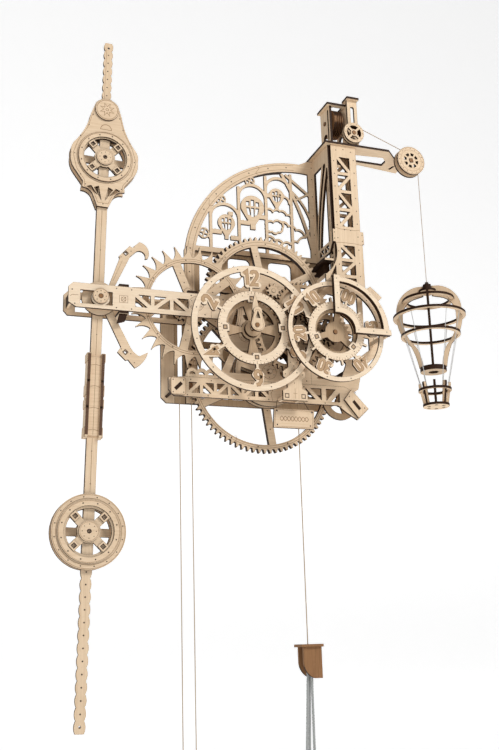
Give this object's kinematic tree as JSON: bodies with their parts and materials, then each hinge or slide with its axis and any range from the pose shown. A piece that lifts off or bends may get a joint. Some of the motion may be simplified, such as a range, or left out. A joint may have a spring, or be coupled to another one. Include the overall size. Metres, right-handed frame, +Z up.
{
  "type": "mechanical wall clock model",
  "caption": "Wall-hung clock model of laser-cut plywood with a pendulum, open gear train, ring dials, an arch, a crane and a hanging balloon.",
  "frame": {"origin": "centre of the hang hole at the wall plane", "axes": "+Z up, +Y into the wall, +X to the right as seen from the front"},
  "size_m": [0.496, 0.097, 0.8361],
  "materials": {
    "birch_ply": "matte",
    "dark_ply": "matte",
    "thread": "matte",
    "rope": "matte"
  },
  "bodies": {
    "frame": {"wall_hanger_plate": "birch_ply", "spacers": "birch_ply", "side_boards": "birch_ply", "back_plate": "birch_ply", "back_beam": "birch_ply", "arch_frame": "birch_ply", "front_beam": "birch_ply", "front_plate": "birch_ply", "base_beam": "birch_ply", "cover_plates": "birch_ply", "foot_plate": "birch_ply", "tower_front": "birch_ply", "tower_box": "birch_ply", "crane_plate": "birch_ply", "crane_ribs": "birch_ply", "reel_brackets": "birch_ply", "fixed_pins": "dark_ply", "hour_pointer": "birch_ply", "minute_window": "birch_ply", "front_posts": "birch_ply", "dial_strut": "birch_ply", "crane_thread": "thread", "weight_thread": "thread", "weight_bracket": "dark_ply", "weight_ropes": "rope", "winding_loop": "thread", "loop_bob": "dark_ply"},
    "pendulum": {"pendulum_rod": "birch_ply", "rod_sleeve": "birch_ply", "pallet_arms": "birch_ply"},
    "upper_weight": {"upper_bob_face": "birch_ply", "upper_bob_back": "birch_ply", "upper_bob_wheel": "birch_ply"},
    "lower_weight": {"lower_bob_face": "birch_ply", "lower_bob_back": "birch_ply", "lower_bob_wheel": "birch_ply"},
    "escape": {"escape_wheel": "birch_ply", "escape_arbor": "birch_ply"},
    "center": {"center_wheel": "birch_ply", "center_arbor": "birch_ply"},
    "great": {"great_wheel": "birch_ply", "great_arbor": "birch_ply"},
    "drum": {"cord_drum": "birch_ply"},
    "winding": {"winding_disc": "birch_ply"},
    "hour": {"hour_dial": "birch_ply", "hour_wheel": "birch_ply"},
    "minute": {"minute_dial": "birch_ply", "minute_wheel": "birch_ply"},
    "reduction": {"reduction_gear": "birch_ply"},
    "motion": {"motion_gear": "birch_ply"},
    "reel": {"thread_reel": "dark_ply"},
    "guide": {"guide_wheel": "birch_ply"},
    "crane": {"crane_wheel": "birch_ply"},
    "balloon": {"balloon_ribs": "birch_ply", "balloon_rings": "birch_ply", "basket": "birch_ply", "rigging": "thread", "balloon_thread": "thread"},
    "sign": {"nameplate": "birch_ply"},
    "pulley": {"loop_pulley": "dark_ply"}
  },
  "joints": [
    {"name": "pendulum_swing", "type": "hinge", "parent": "frame", "child": "pendulum", "pos_m": [-0.1957, -0.027, -0.1939], "axis": [0, 1, 0], "range_deg": [-3.5, 0.2]},
    {"name": "upper_weight_slide", "type": "slide", "parent": "pendulum", "child": "upper_weight", "axis": [0.0297, 0, 0.9996], "range_m": [-0.04, 0.05]},
    {"name": "lower_weight_slide", "type": "slide", "parent": "pendulum", "child": "lower_weight", "axis": [0.0297, 0, 0.9996], "range_m": [-0.1, 0.05]},
    {"name": "center_spin", "type": "hinge", "parent": "frame", "child": "center", "pos_m": [0.006, -0.023, -0.1699], "axis": [0, 1, 0], "continuous": true},
    {"name": "great_spin", "type": "hinge", "parent": "frame", "child": "great", "pos_m": [0, -0.015, -0.26651], "axis": [0, 1, 0], "continuous": true},
    {"name": "escape_spin", "type": "hinge", "parent": "frame", "child": "escape", "pos_m": [-0.08593, -0.031, -0.1922], "axis": [0, 1, 0], "continuous": true},
    {"name": "minute_spin", "type": "hinge", "parent": "frame", "child": "minute", "pos_m": [0.0702, -0.078, -0.2229], "axis": [0, 1, 0], "continuous": true},
    {"name": "motion_spin", "type": "hinge", "parent": "frame", "child": "motion", "pos_m": [0.0429, -0.05, -0.19098], "axis": [0, 1, 0], "continuous": true},
    {"name": "reduction_spin", "type": "hinge", "parent": "frame", "child": "reduction", "pos_m": [0.02041, -0.058, -0.22746], "axis": [0, 1, 0], "continuous": true},
    {"name": "hour_spin", "type": "hinge", "parent": "frame", "child": "hour", "pos_m": [-0.0275, -0.07, -0.2245], "axis": [0, 1, 0], "continuous": true},
    {"name": "drum_spin", "type": "hinge", "parent": "great", "child": "drum", "pos_m": [0, -0.032, -0.26651], "axis": [0, 1, 0], "continuous": true},
    {"name": "winding_spin", "type": "hinge", "parent": "frame", "child": "winding", "pos_m": [0.0935, -0.029, -0.2935], "axis": [0, 1, 0], "continuous": true},
    {"name": "loop_pulley_spin", "type": "hinge", "parent": "frame", "child": "pulley", "pos_m": [-0.095, -0.025, -0.2865], "axis": [0, 1, 0], "continuous": true},
    {"name": "balloon_lift", "type": "slide", "parent": "frame", "child": "balloon", "axis": [0, 0, 1], "range_m": [0, 0.08], "deforming": ["balloon_thread"]},
    {"name": "crane_wheel_spin", "type": "hinge", "parent": "frame", "child": "crane", "pos_m": [0.1978, -0.054, 0.0215], "axis": [0, 1, 0], "range_deg": [-480, 30]},
    {"name": "guide_wheel_spin", "type": "hinge", "parent": "frame", "child": "guide", "pos_m": [0.116, -0.061, 0.0445], "axis": [0, 1, 0], "range_deg": [-480, 30]},
    {"name": "reel_spin", "type": "hinge", "parent": "frame", "child": "reel", "pos_m": [0.103, -0.035, 0.0675], "axis": [1, 0, 0], "range_deg": [-480, 30]},
    {"name": "sign_swing", "type": "hinge", "parent": "frame", "child": "sign", "pos_m": [0.026, -0.0445, -0.3005], "axis": [1, 0, 0], "range_deg": [-30, 0]}
  ],
  "couplings": [
    {"joint": "great_spin", "follows": "center_spin", "ratio": -0.1},
    {"joint": "escape_spin", "follows": "center_spin", "ratio": -3.7778},
    {"joint": "minute_spin", "follows": "center_spin", "ratio": 0.1},
    {"joint": "motion_spin", "follows": "center_spin", "ratio": -0.25},
    {"joint": "reduction_spin", "follows": "center_spin", "ratio": -0.025},
    {"joint": "hour_spin", "follows": "center_spin", "ratio": 0.0083333},
    {"joint": "crane_wheel_spin", "follows": "balloon_lift", "rad_per_m": -86.207},
    {"joint": "guide_wheel_spin", "follows": "balloon_lift", "rad_per_m": -84.746},
    {"joint": "reel_spin", "follows": "balloon_lift", "rad_per_m": -87.719}
  ]
}
